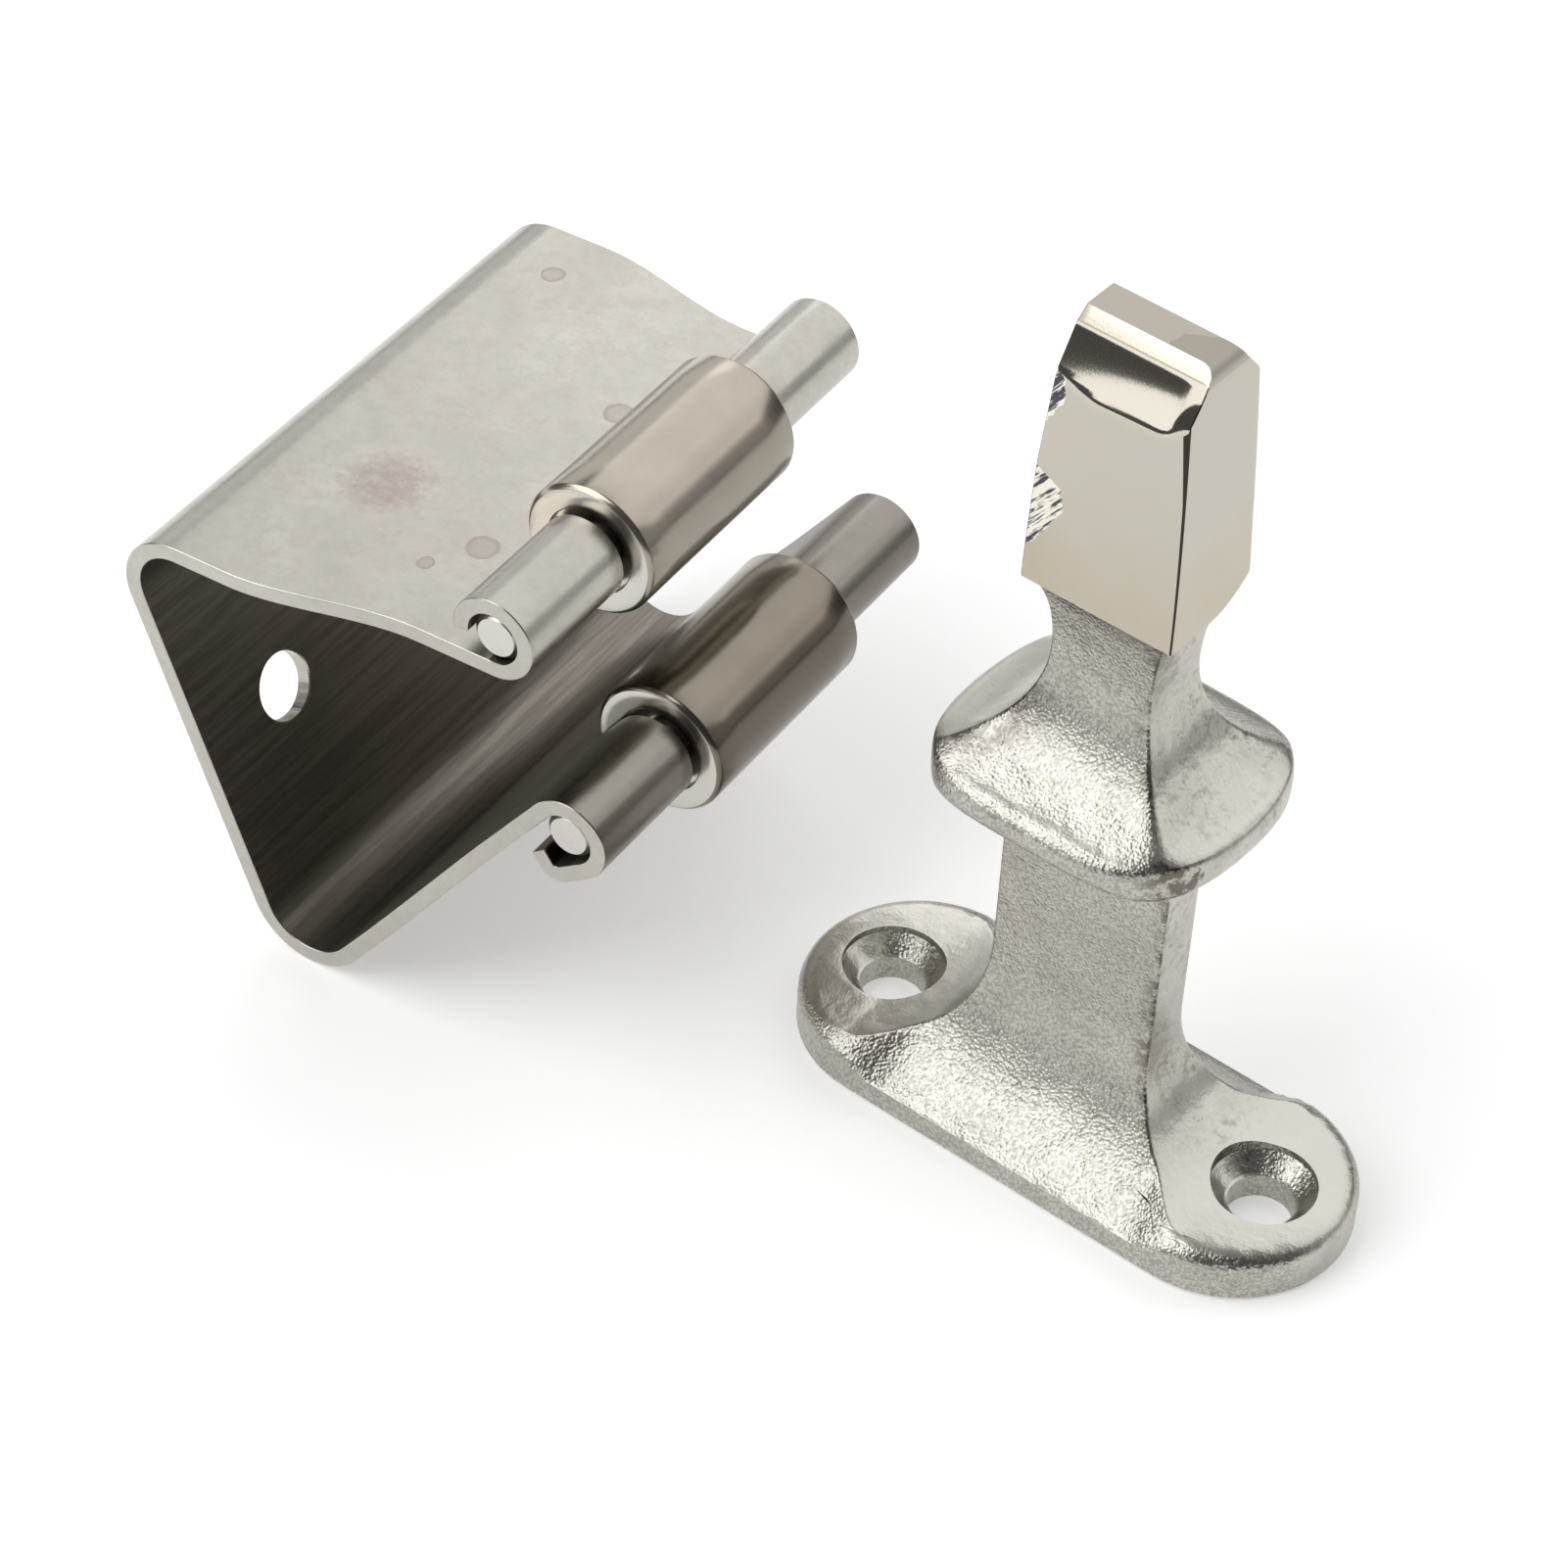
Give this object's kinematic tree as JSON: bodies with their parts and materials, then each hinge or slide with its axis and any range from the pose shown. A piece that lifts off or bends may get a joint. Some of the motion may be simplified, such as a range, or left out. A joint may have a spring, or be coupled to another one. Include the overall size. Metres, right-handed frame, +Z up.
{
  "type": "roller catch and strike",
  "caption": "Spring clip with free-turning rollers that snap over the wedge head of a cast strike post, to hold a gate or door.",
  "frame": {"origin": "middle of the strike's foot, on its underside", "axes": "+Z up along the strike post, +X along the line of the strike's two screw holes; the spring clip lies beside the strike on -X, its mouth facing +X"},
  "size_m": [0.1006, 0.0517, 0.076],
  "materials": {
    "cast_steel": "bright as-cast grain, with a ground and polished head",
    "sheet_steel": "satin, with faint water spots",
    "pin_steel": "bright, cut ends chamfered",
    "roller_steel": "turned bright"
  },
  "bodies": {
    "strike": {"strike_post": "cast_steel"},
    "clip_base": {"clip_back_plate": "sheet_steel"},
    "arm_upper": {"clip_arm_upper": "sheet_steel", "pin_upper": "pin_steel"},
    "arm_lower": {"clip_arm_lower": "sheet_steel", "pin_lower": "pin_steel"},
    "roller_upper": {"roller_upper": "roller_steel"},
    "roller_lower": {"roller_lower": "roller_steel"}
  },
  "joints": [
    {"name": "clip_lift", "type": "slide", "parent": "strike", "child": "clip_base", "axis": [0, 0, 1], "range_m": [0, 0.06]},
    {"name": "arm_upper_flex", "type": "hinge", "parent": "clip_base", "child": "arm_upper", "pos_m": [-0.07271, -0.00369, 0.03014], "axis": [0.1011, -0.9949, 0], "range_deg": [-1, 4], "stiffness_Nm_per_rad": 6},
    {"name": "arm_lower_flex", "type": "hinge", "parent": "clip_base", "child": "arm_lower", "pos_m": [-0.06191, -0.00259, 0.00368], "axis": [-0.1011, 0.9949, 0], "range_deg": [-1, 4], "stiffness_Nm_per_rad": 6},
    {"name": "roller_upper_spin", "type": "hinge", "parent": "arm_upper", "child": "roller_upper", "pos_m": [-0.04186, -0.00055, 0.03967], "axis": [-0.1011, 0.9949, 0], "continuous": true},
    {"name": "roller_lower_spin", "type": "hinge", "parent": "arm_lower", "child": "roller_lower", "pos_m": [-0.03518, 0.00013, 0.02329], "axis": [-0.1011, 0.9949, 0], "continuous": true}
  ]
}
